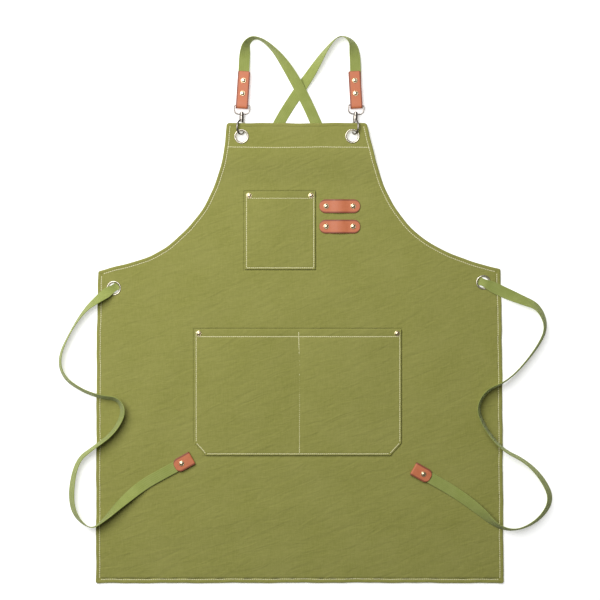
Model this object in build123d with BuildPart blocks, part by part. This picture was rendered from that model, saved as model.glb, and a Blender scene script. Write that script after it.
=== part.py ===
"""Cross-back canvas apron with leather trim, lying flat on its back.

Millimetres, +Z up. The apron lies on the plane z = 0 with its bib towards +Y and its front up.
The origin is on that plane, under the middle of the apron and its strap clips.
"""

from build123d import *
from math import cos, hypot, radians, sin, tan
import os

# ---------------------------------------------------------------- driving dimensions
# Canvas body, half of its outline (the right side); the left side is its mirror image.
hem_y = -440.0  # bottom edge
side_x = 351.0  # half width at the bottom edge
side_top = (346.0, 97.0)  # where the side meets the armhole
bib_top = (121.0, 352.5)  # the bib's upper corner
armhole_upper = (131.5, 288.0)
armhole_middle = (155.5, 223.0)
armhole_lower = (202.5, 161.0)
armhole_flat = (271.0, 120.0)
canvas = 0.9  # cloth thickness
hem_width = 7.2
hem_thickness = 3.2  # three layers of cloth and the fold's spring
bib_corner_radius = 3.0

# The bib rises over the straps and the hooks under it.
ramp_start = 240.0
ramp_end = 305.0
bib_rise = 7.2

facing_depth = 47.0
facing_clear = 0.3

# Webbing straps
webbing_width = 19.0
webbing_thickness = 1.5
crossing_lift = 1.8  # the left strap's underside where it passes over the right one
eyelet_neck = 12.0  # the webbing is folded this narrow in a side eyelet
neck_reach = 16.0
neck_slope = (6.5, 5.5)  # where the neck starts and stops climbing, before and after the eyelet

# Eyelets
eyelet_bore = 18.0
eyelet_wall = 0.5
eyelet_rim = 3.5
eyelet_flange = eyelet_bore + 2 * eyelet_rim
eyelet_flange_height = 1.0
washer_height = 0.6
bib_eyelets_at = {"left": (-98.0, 328.5), "right": (92.5, 329.0)}
side_eyelets_at = {"left": (-318.0, 68.0), "right": (318.0, 78.0)}

# Pockets
pocket_margin = 3.0  # width of the sewn seam
pocket_flat = 12.0  # flat strip beside a seam
pocket_slope = 16.0
pocket_gape = 5.4  # clear height under a pocket's crown
chest_pocket_box = (-92.5, 29.0, 100.0, 234.0)  # left, right, bottom, top
chest_hem_depth = 11.5
lower_pocket_box = (-179.0, 177.0, -220.0, -3.0)
lower_hem_depth = 12.5
lower_pocket_cut = (19.0, 21.0)  # cut corner: across and up
pocket_rivet_in = (7.5, 6.8)  # from a pocket's side and top
divider_x = 0.5

# Leather loops
loop_length = 70.0
loop_width = 23.7
loop_leather = 2.2
loop_middle_x = 70.7
loop_middles_y = {"upper": 209.0, "lower": 174.0}
loop_rivet_spacing = 46.3
loop_foot = 16.5  # flat length at each end
loop_rise = 5.2
loop_slope = 7.0

# Rivets
rivet_cap = 9.0
rivet_cap_height = 2.2
rivet_seat = 0.6  # flat of doubled cloth left around a cap inside a pocket
rivet_post = 3.0
rivet_back = 8.0
rivet_back_height = 0.6

# Leather tabs on the straps
tab_leather = 1.8
tab_width = webbing_width + 2.0
tab_length = 59.0  # from the D-loop's bar to the upper end
tab_lean = {"left": -3.7, "right": 3.4}  # degrees, the upper ends lean together
tab_rivets_up = (20.5, 42.7)
tab_slot_start = 12.0  # from the bar to where the webbing's end lies
bar_clear = 0.3
bar_play = 2.2
end_tab_leather = 1.5
end_tab_width = webbing_width + 5.0
end_tab_length = 34.0
end_tab_rivet = 20.5  # from the folded end
end_tab_clear = 0.5
end_tab_inside = 5.5  # from the folded end to the webbing's end
end_tab_fold_at = {"left": (-183.0, -223.5), "right": (197.0, -241.7)}
end_tab_turn = {"left": 29.0, "right": 150.6}

# Clips: each has its own frame, with the D-loop's bar at its origin and the hook towards -Y.
clip_z = 7.0
clip_bar_at = {"left": (-97.4, 382.0), "right": (99.3, 382.0)}
clip_lean = {"left": -1.0, "right": -4.3}  # degrees
hook_roll = {"left": 50.0, "right": 60.0}  # degrees, how far the hook's arm stands up
clip_side = {"left": -1.0, "right": 1.0}
loop_wire = 2.4
d_play = 2.7  # between the tab's edges and the D-loop's sides
d_width = tab_width + 2 * loop_wire + d_play
d_depth = 14.9  # from the bar's middle to the bow's middle
d_corner = 7.0
d_shoulder = 1.6
boss_diameter = 7.0
boss_span = (-16.6, -12.6)
post_diameter = 3.0
post_clear = 0.1
post_head = 6.0
post_head_height = 1.8
post_depth = 4.4
running_gap = 0.2
barrel_diameter = 8.6
barrel_foot = 7.4
barrel_length = 11.2
arm_wire = 3.2
gate_pivot = (-3.2, -24.6)
gate_pin = 1.5
gate_clear = 0.1
gate_thickness = 1.8
gate_head = 4.0
gate_tip = (-5.6, -43.8)
gate_width = 1.8
gate_slot_clear = 0.15
gate_slot_in = 2.6  # how far the slot reaches past the gate's pivot
gate_slot_top = -21.6
pin_length = 6.6
thumb_at = (-6.0, -28.6)
thumb_diameter = 2.6
arm_points = [
    (2.0, -24.6),
    (7.4, -28.0),
    (11.4, -36.0),
    (9.6, -44.6),
    (4.0, -49.2),
    (-2.0, -48.7),
    (-5.4, -46.4),
]
leaf_thickness = 0.35
leaf_points = [(-0.7, -21.7), (-0.75, -25.0), (-2.1, -29.3)]

# Stitching
stitch_width = 0.8
stitch_height = 0.3
facing_seam_y = 310.0

# Strap routes, in order from each clip tab; every route is one piece of webbing.
shoulder_route = {
    "left": [(-94, 441), (-93, 468), (-90, 495), (-69, 505), (-40, 480), (-14, 440), (14, 388), (30, 352)],
    "right": [(98, 440), (97, 470), (92, 497), (70, 507), (48, 480), (22, 438), (-10, 392), (-36, 350)],
}
hidden_route = {
    "left": [(30, 352), (58, 290), (96, 222), (148, 157), (222, 113), (285, 91), (318, 78)],
    "right": [(-36, 350), (-64, 285), (-100, 215), (-155, 155), (-225, 112), (-290, 87), (-318, 68)],
}
tie_route = {
    "left": [
        (318, 78), (350, 62), (383, 48), (413, 36), (427, 2), (413, -30), (380, -72), (352, -95),
        (322, -108), (306, -138), (320, -173), (350, -210), (390, -229), (420, -260), (436, -296),
        (414, -330), (376, -349), (342, -343), (306, -309), (266, -281), (233, -262), (202, -244.5),
    ],
    "right": [
        (-318, 68), (-345, 49), (-368, 30), (-392, -6), (-413, -52), (-404, -86), (-372, -108),
        (-340, -119), (-309, -122), (-299, -146), (-318, -181), (-352, -206), (-381, -228),
        (-392, -282), (-386, -322), (-357, -347), (-336, -332), (-304, -300), (-268, -270),
        (-228, -248), (-189, -227),
    ],
}
# The strap from the left clip comes out at the right side, and the other way round.
tie_side = {"left": "right", "right": "left"}
shoulder_stands_to = 4  # the straps stand on edge from their first corner to this one
tie_stands = {"left": (3, 17), "right": (2, 16)}  # first and last corner that a tie takes on edge

# ---------------------------------------------------------------- worked out from them
panel_top = hem_thickness
panel_under = panel_top - canvas
bib_surface = panel_top + bib_rise
tie_low = panel_top + 0.2 + rivet_back_height + end_tab_leather  # underside of a tie lying on the apron
tie_raise = panel_top + 0.3  # underside of a tie standing on the apron
apron_edge = side_x + 2.0
far = 500.0

os.makedirs("parts", exist_ok=True)


# ---------------------------------------------------------------- shared shapes
def write(piece, name):
    piece.part.label = name
    export_step(piece.part, f"parts/{name}.step")


def corner_radii(points):
    """Radius for each inner corner: 0.45 of the shorter run over the tangent of half the turn."""
    radii = []
    for before, corner, after in zip(points, points[1:], points[2:]):
        run_in = Vector(corner[0] - before[0], corner[1] - before[1])
        run_out = Vector(after[0] - corner[0], after[1] - corner[1])
        half_turn = radians(run_in.get_angle(run_out) / 2)
        radii.append(0.45 * min(run_in.length, run_out.length) / tan(half_turn))
    return radii


def strip(points, width, low, high):
    """A band of the given width along a flat route, between two heights."""
    with BuildSketch(Plane.XY.offset(low)) as band:
        with BuildLine():
            if len(points) == 2:
                Line(*points)
            else:
                FilletPolyline(*points, radius=corner_radii(points))
        trace(line_width=width)
    extrude(band.sketch, amount=high - low)


def climbing_strip(start, end, heights, width):
    """A straight band whose underside follows (distance, height) pairs from start to end."""
    along = Vector(end[0] - start[0], end[1] - start[1]).normalized()
    side = Plane(origin=(start[0], start[1], 0), x_dir=along, z_dir=(along.Y, -along.X, 0))
    upper = [(s, z + webbing_thickness) for s, z in reversed(heights)]
    with BuildSketch(side) as profile:
        with BuildLine():
            Polyline(*heights, *upper, close=True)
        make_face()
    extrude(profile.sketch, amount=width / 2, both=True)


def surface_band(below, above):
    """The apron's lengthwise section between two offsets from its upper surface."""
    line = [(hem_y - 20, panel_top), (ramp_start, panel_top), (ramp_end, bib_surface), (far, bib_surface)]
    lower = [(y, z + below) for y, z in line]
    upper = [(y, z + above) for y, z in reversed(line)]
    with BuildSketch(Plane.YZ) as section:
        with BuildLine():
            Polyline(*lower, *upper, close=True)
        make_face()
    extrude(section.sketch, amount=far, both=True, mode=Mode.INTERSECT)


def half_armhole(side):
    """Points down one armhole, from the bib's corner to the side; side is +1 or -1 along X."""
    points = [bib_top, armhole_upper, armhole_middle, armhole_lower, armhole_flat, side_top]
    return [(side * x, y) for x, y in points]


def body_outline():
    """Face of the apron's outline, inside the current sketch."""
    right = half_armhole(1)
    left = half_armhole(-1)
    with BuildLine() as edge:
        ThreePointArc(right[0], right[1], right[2])
        ThreePointArc(right[2], right[3], right[4])
        Line(right[4], right[5])
        Line(right[5], (side_x, hem_y))
        Line((side_x, hem_y), (-side_x, hem_y))
        Line((-side_x, hem_y), left[5])
        Line(left[5], left[4])
        ThreePointArc(left[4], left[3], left[2])
        ThreePointArc(left[2], left[1], left[0])
        Line(left[0], right[0])
    make_face(edge.edges())


def bib_half_width():
    """Half the clear width between the bib's side hems, at its top edge."""
    return bib_top[0] - hem_width


# ---------------------------------------------------------------- canvas body
pocket_rivet_places = []
for left_x, right_x, _, top_y in (chest_pocket_box, lower_pocket_box):
    for x in (left_x + pocket_rivet_in[0], right_x - pocket_rivet_in[0]):
        pocket_rivet_places.append((x, top_y - pocket_rivet_in[1]))

loop_rivet_places = []
for middle_y in loop_middles_y.values():
    for x in (-loop_rivet_spacing / 2, loop_rivet_spacing / 2):
        loop_rivet_places.append((loop_middle_x + x, middle_y))

eyelet_hole = eyelet_bore / 2 + eyelet_wall

with BuildPart() as underside_relief:
    with BuildSketch():
        body_outline()
        offset(amount=-hem_width, kind=Kind.INTERSECTION, mode=Mode.REPLACE)
        with Locations((0, bib_top[1])):
            Rectangle(2 * bib_half_width(), 4 * hem_width)
    extrude(amount=bib_surface)
    surface_band(-2 * hem_thickness, -canvas)

with BuildPart() as apron_panel:
    with BuildSketch():
        body_outline()
    extrude(amount=bib_surface)
    surface_band(-hem_thickness, 0)
    add(underside_relief.part, mode=Mode.SUBTRACT)
    bib_corners = apron_panel.edges().filter_by(Axis.Z).group_by(Axis.Y)[-1]
    fillet(bib_corners, bib_corner_radius)
    with Locations(*bib_eyelets_at.values(), *side_eyelets_at.values()):
        Cylinder(eyelet_hole, 4 * bib_surface, mode=Mode.SUBTRACT)
    with Locations(*pocket_rivet_places, *loop_rivet_places):
        Cylinder(rivet_post / 2, 4 * bib_surface, mode=Mode.SUBTRACT)
write(apron_panel, "apron_panel")

with BuildPart() as bib_facing:
    with BuildSketch():
        body_outline()
        offset(amount=-(hem_width + facing_clear), kind=Kind.INTERSECTION, mode=Mode.REPLACE)
        with Locations((0, bib_top[1] - hem_width)):
            Rectangle(2 * (bib_half_width() - facing_clear), 2 * hem_width)
        with Locations((0, bib_top[1] - facing_depth / 2)):
            Rectangle(far, facing_depth, mode=Mode.INTERSECT)
    extrude(amount=bib_surface)
    surface_band(-2 * canvas, -canvas)
    with Locations(*bib_eyelets_at.values()):
        Cylinder(eyelet_hole, 4 * bib_surface, mode=Mode.SUBTRACT)
write(bib_facing, "bib_facing")


# ---------------------------------------------------------------- eyelets
def eyelets(places, upper, lower, name):
    """Flanged barrels pushed through the cloth from the front, and the washers they are set over."""
    with BuildPart() as barrels:
        with BuildSketch(Plane.XY.offset(lower - washer_height)):
            with Locations(*places):
                Circle(eyelet_hole)
                Circle(eyelet_bore / 2, mode=Mode.SUBTRACT)
        extrude(amount=upper - lower + washer_height)
        with BuildSketch(Plane.XY.offset(upper)):
            with Locations(*places):
                Circle(eyelet_flange / 2)
                Circle(eyelet_bore / 2, mode=Mode.SUBTRACT)
        extrude(amount=eyelet_flange_height)
        rims = barrels.edges().group_by(Axis.Z)[-1]
        fillet(rims, eyelet_flange_height * 0.45)
    write(barrels, name)
    with BuildPart() as washers:
        with BuildSketch(Plane.XY.offset(lower - washer_height)):
            with Locations(*places):
                Circle(eyelet_flange / 2 - 0.5)
                Circle(eyelet_hole, mode=Mode.SUBTRACT)
        extrude(amount=washer_height)
    write(washers, name[:-1] + "_washers")


eyelets(bib_eyelets_at.values(), bib_surface, bib_surface - 2 * canvas, "bib_eyelets")
eyelets(side_eyelets_at.values(), panel_top, panel_under, "side_eyelets")


# ---------------------------------------------------------------- pockets
def crown_line(left_x, right_x):
    """Cross-section of a pocket's front: flat beside both seams and raised between them."""
    flat = panel_top + 2 * canvas
    high = panel_top + pocket_gape + canvas
    return [
        (left_x, flat),
        (left_x + pocket_flat, flat),
        (left_x + pocket_flat + pocket_slope, high),
        (right_x - pocket_flat - pocket_slope, high),
        (right_x - pocket_flat, flat),
        (right_x, flat),
    ]


def crown_band(lines, below, above, mode):
    """Everything between two offsets from a pocket's front, as a band running along Y."""
    lower = [(x, z + below) for x, z in lines]
    upper = [(x, z + above) for x, z in reversed(lines)]
    with BuildSketch(Plane.XZ) as section:
        with BuildLine():
            Polyline(*lower, *upper, close=True)
        make_face()
    extrude(section.sketch, amount=far, both=True, mode=mode)


def pocket_face(box, cut, inset, top_extra):
    """Outline of a pocket, in the current sketch, drawn in from its sewn edges by an inset."""
    left_x, right_x, bottom_y, top_y = box
    across, up = cut
    with BuildLine() as edge:
        Polyline(
            (left_x + inset, top_y + top_extra),
            (left_x + inset, bottom_y + inset + up),
            (left_x + inset + across, bottom_y + inset),
            (right_x - inset - across, bottom_y + inset),
            (right_x - inset, bottom_y + inset + up),
            (right_x - inset, top_y + top_extra),
            close=True,
        )
    make_face(edge.edges())


def pocket(box, cut, lines, dividers, name):
    left_x, right_x, bottom_y, top_y = box
    with BuildPart() as inside:
        with BuildSketch(Plane.XY.offset(panel_top)):
            pocket_face(box, cut, pocket_margin, pocket_margin)
            with Locations(*[(x, (top_y + bottom_y) / 2) for x in dividers]):
                Rectangle(pocket_margin, 2 * (top_y - bottom_y), mode=Mode.SUBTRACT)
            with Locations(*[p for p in pocket_rivet_places if bottom_y < p[1] < top_y]):
                Circle(rivet_cap / 2 + rivet_seat, mode=Mode.SUBTRACT)
        extrude(amount=4 * pocket_gape)
        crown_band(lines, -4 * pocket_gape, -canvas, Mode.INTERSECT)
    with BuildPart() as piece:
        with BuildSketch(Plane.XY.offset(panel_top)):
            pocket_face(box, cut, 0, 0)
        extrude(amount=4 * pocket_gape)
        crown_band(lines, -4 * pocket_gape, 0, Mode.INTERSECT)
        add(inside.part, mode=Mode.SUBTRACT)
        with Locations(*[p for p in pocket_rivet_places if bottom_y < p[1] < top_y]):
            Cylinder(rivet_post / 2, 8 * pocket_gape, mode=Mode.SUBTRACT)
    write(piece, name)


def pocket_stitching(box, cut, lines, dividers, hem_depth, name):
    left_x, right_x, bottom_y, top_y = box
    with BuildPart() as thread:
        with BuildSketch(Plane.XY.offset(panel_top)):
            pocket_face(box, cut, pocket_margin, 0)
            offset(amount=-stitch_width, kind=Kind.INTERSECTION, mode=Mode.SUBTRACT)
            with Locations(((left_x + right_x) / 2, top_y)):
                Rectangle(2 * far, 2 * stitch_width, mode=Mode.SUBTRACT)
            with Locations(((left_x + right_x) / 2, top_y - hem_depth)):
                Rectangle(right_x - left_x - 2 * pocket_margin, stitch_width)
            with Locations(*[(x, (top_y - hem_depth + bottom_y + pocket_margin) / 2) for x in dividers]):
                Rectangle(stitch_width, top_y - hem_depth - bottom_y - pocket_margin)
            with Locations(*[p for p in pocket_rivet_places if bottom_y < p[1] < top_y]):
                Circle(rivet_cap / 2 + stitch_height, mode=Mode.SUBTRACT)
        extrude(amount=4 * pocket_gape)
        crown_band(lines, 0, stitch_height, Mode.INTERSECT)
    write(thread, name)


chest_line = crown_line(chest_pocket_box[0], chest_pocket_box[1])
lower_line = crown_line(lower_pocket_box[0], divider_x) + crown_line(divider_x, lower_pocket_box[1])[1:]
pocket(chest_pocket_box, (0.5, 0.5), chest_line, [], "chest_pocket")
pocket(lower_pocket_box, lower_pocket_cut, lower_line, [divider_x], "lower_pocket")
pocket_stitching(chest_pocket_box, (0.5, 0.5), chest_line, [], chest_hem_depth, "chest_pocket_stitching")
pocket_stitching(
    lower_pocket_box, lower_pocket_cut, lower_line, [divider_x], lower_hem_depth, "lower_pocket_stitching"
)

# ---------------------------------------------------------------- the body's own stitching
with BuildPart() as hem_stitching:
    with BuildSketch():
        body_outline()
        offset(amount=-(hem_width - stitch_width), kind=Kind.INTERSECTION, mode=Mode.REPLACE)
        offset(amount=-stitch_width, kind=Kind.INTERSECTION, mode=Mode.SUBTRACT)
        with Locations((0, bib_top[1] - hem_width)):
            Rectangle(2 * (bib_half_width() - 1), 4 * stitch_width, mode=Mode.SUBTRACT)
    extrude(amount=2 * bib_surface)
    surface_band(0, stitch_height)
write(hem_stitching, "hem_stitching")

with BuildPart() as facing_stitching:
    with BuildSketch(Plane.XY.offset(bib_surface)):
        with Locations((0, facing_seam_y)):
            Rectangle(2 * bib_half_width(), stitch_width)
    extrude(amount=stitch_height)
write(facing_stitching, "facing_stitching")

# ---------------------------------------------------------------- leather loops
for loop_name, middle_y in loop_middles_y.items():
    with BuildPart() as leather_loop:
        with BuildSketch(Plane.XY.offset(panel_top)):
            with Locations((loop_middle_x, middle_y)):
                SlotOverall(loop_length, loop_width)
        extrude(amount=4 * loop_rise)
        loop_line = [
            (-loop_length, 0),
            (-loop_length / 2 + loop_foot, 0),
            (-loop_length / 2 + loop_foot + loop_slope, loop_rise),
            (loop_length / 2 - loop_foot - loop_slope, loop_rise),
            (loop_length / 2 - loop_foot, 0),
            (loop_length, 0),
        ]
        loop_line = [(loop_middle_x + x, panel_top + z) for x, z in loop_line]
        crown_band(loop_line, 0, loop_leather, Mode.INTERSECT)
        with Locations(*loop_rivet_places):
            Cylinder(rivet_post / 2, 8 * loop_rise, mode=Mode.SUBTRACT)
    write(leather_loop, f"{loop_name}_loop")


# ---------------------------------------------------------------- rivets
def rivets(places, top, bottom, name):
    """Capped rivets along Z at the given places, with posts through the stack, and their back caps."""
    with BuildPart() as caps:
        with BuildSketch(Plane.XY.offset(top)):
            with Locations(*places):
                Circle(rivet_cap / 2)
        extrude(amount=rivet_cap_height)
        crowns = caps.edges().group_by(Axis.Z)[-1]
        fillet(crowns, rivet_cap_height * 0.8)
        with BuildSketch(Plane.XY.offset(bottom)):
            with Locations(*places):
                Circle(rivet_post / 2)
        extrude(amount=top - bottom)
    write(caps, name + "s" if len(places) > 1 else name)
    with BuildPart() as backs:
        with BuildSketch(Plane.XY.offset(bottom - rivet_back_height)):
            with Locations(*places):
                Circle(rivet_back / 2)
        extrude(amount=rivet_back_height)
    write(backs, name + ("_backs" if len(places) > 1 else "_back"))


def tab_plane(side):
    """Flat frame of a strap tab: origin on the D-loop's bar, +Y up the tab."""
    x, y = clip_bar_at[side]
    lean = radians(tab_lean[side])
    return Plane(origin=(x, y, clip_z), x_dir=(cos(lean), sin(lean), 0), z_dir=(0, 0, 1))


def end_tab_plane(side):
    """Flat frame of an end tab: origin at the middle of its folded end, +X away from the webbing."""
    x, y = end_tab_fold_at[side]
    turn = radians(end_tab_turn[side])
    return Plane(origin=(x, y, 0), x_dir=(cos(turn), sin(turn), 0), z_dir=(0, 0, 1))


def flat_place(plane, x, y):
    point = plane.from_local_coords(Vector(x, y, 0))
    return (point.X, point.Y)


rivets(pocket_rivet_places, panel_top + 2 * canvas, panel_under, "pocket_rivet")
rivets(loop_rivet_places, panel_top + loop_leather, panel_under, "loop_rivet")
tab_rivet_places = {}
for side in clip_side:
    tab_rivet_places[side] = [flat_place(tab_plane(side), 0, up) for up in tab_rivets_up]
tab_stack = webbing_thickness / 2 + tab_leather
all_tab_rivets = tab_rivet_places["left"] + tab_rivet_places["right"]
rivets(all_tab_rivets, clip_z + tab_stack, clip_z - tab_stack, "strap_tab_rivet")
end_tab_low = tie_low - end_tab_leather
end_tab_top = tie_low + webbing_thickness + end_tab_leather
end_rivet_place = {side: flat_place(end_tab_plane(side), -end_tab_rivet, 0) for side in clip_side}
for side in clip_side:
    rivets([end_rivet_place[side]], end_tab_top, end_tab_low, f"{side}_end_rivet")

# ---------------------------------------------------------------- leather tabs
for side in clip_side:
    flat = tab_plane(side)
    upright = Plane(origin=flat.origin, x_dir=flat.y_dir, z_dir=flat.x_dir)
    cavity = loop_wire / 2 + bar_clear
    with BuildPart() as strap_tab:
        with BuildSketch(upright):
            with BuildLine():
                outer = [
                    (tab_length, tab_stack),
                    (tab_slot_start, tab_stack),
                    (cavity, cavity + tab_leather),
                    (-bar_play, cavity + tab_leather),
                ]
                Polyline(*outer)
                fold_end = (-bar_play - cavity - tab_leather, 0)
                ThreePointArc(outer[-1], fold_end, (outer[-1][0], -outer[-1][1]))
                Polyline(*[(y, -z) for y, z in reversed(outer)])
                Line((tab_length, -tab_stack), (tab_length, tab_stack))
            make_face()
        extrude(amount=tab_width / 2, both=True)
        with BuildSketch(upright):
            with BuildLine():
                inner = [
                    (tab_length + 1, webbing_thickness / 2),
                    (tab_slot_start, webbing_thickness / 2),
                    (2 * cavity, cavity),
                    (-bar_play, cavity),
                ]
                Polyline(*inner)
                ThreePointArc(inner[-1], (-bar_play - cavity, 0), (inner[-1][0], -inner[-1][1]))
                Polyline(*[(y, -z) for y, z in reversed(inner)])
                Line((tab_length + 1, -webbing_thickness / 2), (tab_length + 1, webbing_thickness / 2))
            make_face()
        extrude(amount=tab_width, both=True, mode=Mode.SUBTRACT)
        upper_corners = strap_tab.edges().filter_by(Axis.Z).group_by(Axis.Y)[-2:]
        fillet(upper_corners[0] + upper_corners[1], 3.0)
        with Locations(*tab_rivet_places[side]):
            Cylinder(rivet_post / 2, 8 * tab_stack, mode=Mode.SUBTRACT)
    write(strap_tab, f"{side}_strap_tab")

    flat = end_tab_plane(side)
    with BuildPart() as end_tab:
        with BuildSketch(flat.offset(end_tab_low)):
            with Locations((-(end_tab_length - end_tab_width / 2) / 2, 0)):
                Rectangle(end_tab_length - end_tab_width / 2, end_tab_width)
            with Locations((-(end_tab_length - end_tab_width / 2), 0)):
                Circle(end_tab_width / 2)
        extrude(amount=end_tab_top - end_tab_low)
        with BuildSketch(flat.offset(tie_low)):
            with Locations((-end_tab_inside - end_tab_length / 2, 0)):
                Rectangle(end_tab_length, webbing_width + 2 * end_tab_clear)
        extrude(amount=webbing_thickness, mode=Mode.SUBTRACT)
        with Locations(end_rivet_place[side]):
            Cylinder(rivet_post / 2, 4 * end_tab_top, mode=Mode.SUBTRACT)
    write(end_tab, f"{side}_end_tab")

# ---------------------------------------------------------------- webbing straps
def between(a, b, share):
    """The point a given share of the way from a to b."""
    return (a[0] + (b[0] - a[0]) * share, a[1] + (b[1] - a[1]) * share)


def shown(name, points):
    runs = [round(hypot(b[0] - a[0], b[1] - a[1])) for a, b in zip(points, points[1:])]
    print(name, "runs", runs, "sum", sum(runs))
    print(name, "radii", [round(r) for r in corner_radii(points)])


strap_level = {"left": crossing_lift, "right": 0.0}
for side, level in strap_level.items():
    shoulder = shoulder_route[side]
    hidden = hidden_route[side]
    tie = tie_route[side]
    shown(f"{side} strap", shoulder + hidden[1:] + tie[1:])

    tab = tab_plane(side)
    inside_tab = flat_place(tab, 0, tab_slot_start)
    above_tab = flat_place(tab, 0, tab_length + webbing_width)
    last = shoulder_stands_to
    over_top = [between(shoulder[0], shoulder[1], 0.5)] + shoulder[1 : last + 1]
    over_top.append(between(shoulder[last], shoulder[last + 1], 0.5))
    descent = between(hidden[0], hidden[1], 0.4)
    crossing = [between(shoulder[last], shoulder[last + 1], 0.25)] + shoulder[last + 1 :] + [descent]
    drop = hypot(hidden[1][0] - descent[0], hidden[1][1] - descent[1])

    eyelet = side_eyelets_at[tie_side[side]]
    along = Vector(tie[1][0] - eyelet[0], tie[1][1] - eyelet[1]).normalized() * neck_reach
    neck_in = (eyelet[0] - along.X, eyelet[1] - along.Y)
    neck_out = (eyelet[0] + along.X, eyelet[1] + along.Y)
    neck_line = [
        (0, 0),
        (neck_reach - neck_slope[0], 0),
        (neck_reach + neck_slope[1], tie_low),
        (2 * neck_reach, tie_low),
    ]
    under_bib = [hidden[1]] + hidden[2:-1] + [neck_in]

    first, last = tie_stands[side]
    tie_start = [neck_out] + tie[1:first] + [between(tie[first - 1], tie[first], 0.75)]
    tie_edge = [between(tie[first - 1], tie[first], 0.5)] + tie[first : last + 1]
    tie_edge.append(between(tie[last], tie[last + 1], 0.5))
    tie_end = [between(tie[last], tie[last + 1], 0.25)] + tie[last + 1 :]

    with BuildPart() as standing_tie:
        strip(tie_edge, webbing_thickness, 0, tie_raise + webbing_width)
        with Locations((0, 0, tie_raise / 2)):
            Box(2 * apron_edge, 4 * far, tie_raise, mode=Mode.SUBTRACT)
        with Locations(*[(x * (apron_edge + far), 0, webbing_width + tie_raise / 2) for x in (-1, 1)]):
            Box(2 * far, 4 * far, tie_raise, mode=Mode.SUBTRACT)

    with BuildPart() as webbing:
        tab_strap_low = clip_z - webbing_thickness / 2
        strip([inside_tab, above_tab], webbing_width, tab_strap_low, tab_strap_low + webbing_thickness)
        strip(over_top, webbing_thickness, 0, webbing_width)
        strip(crossing, webbing_width, level, level + webbing_thickness)
        climbing_strip(descent, hidden[1], [(0, level), (drop, 0)], webbing_width)
        strip(under_bib, webbing_width, 0, webbing_thickness)
        climbing_strip(neck_in, neck_out, neck_line, eyelet_neck)
        strip(tie_start, webbing_width, tie_low, tie_low + webbing_thickness)
        add(standing_tie.part)
        strip(tie_end, webbing_width, tie_low, tie_low + webbing_thickness)
        with Locations(*tab_rivet_places[side], end_rivet_place[tie_side[side]]):
            Cylinder(rivet_post / 2, 4 * webbing_width, mode=Mode.SUBTRACT)
    write(webbing, f"{side}_webbing")


# ---------------------------------------------------------------- strap clips
def clip_plane(side):
    """Flat frame of a clip: origin on the D-loop's bar, +Y along the swivel's axis, away from the hook."""
    x, y = clip_bar_at[side]
    lean = radians(clip_lean[side])
    return Plane(origin=(x, y, clip_z), x_dir=(cos(lean), sin(lean), 0), z_dir=(0, 0, 1))


def hook_plane(side):
    """The clip's frame rolled about the swivel's axis, so that +X points to the hook's arm."""
    flat = clip_plane(side)
    roll = radians(hook_roll[side])
    arm = flat.x_dir * (clip_side[side] * cos(roll)) + Vector(0, 0, sin(roll))
    return Plane(origin=flat.origin, x_dir=arm, z_dir=arm.cross(flat.y_dir))


def turned(plane, profile, mode=Mode.ADD):
    """A body of revolution about the plane's Y axis, from (radius, height) pairs."""
    with BuildSketch(plane) as half_section:
        with BuildLine():
            Polyline((0, profile[0][1]), *profile, (0, profile[-1][1]), close=True)
        make_face()
    revolve(half_section.sketch, axis=Axis(plane.origin, plane.y_dir), mode=mode)


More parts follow.
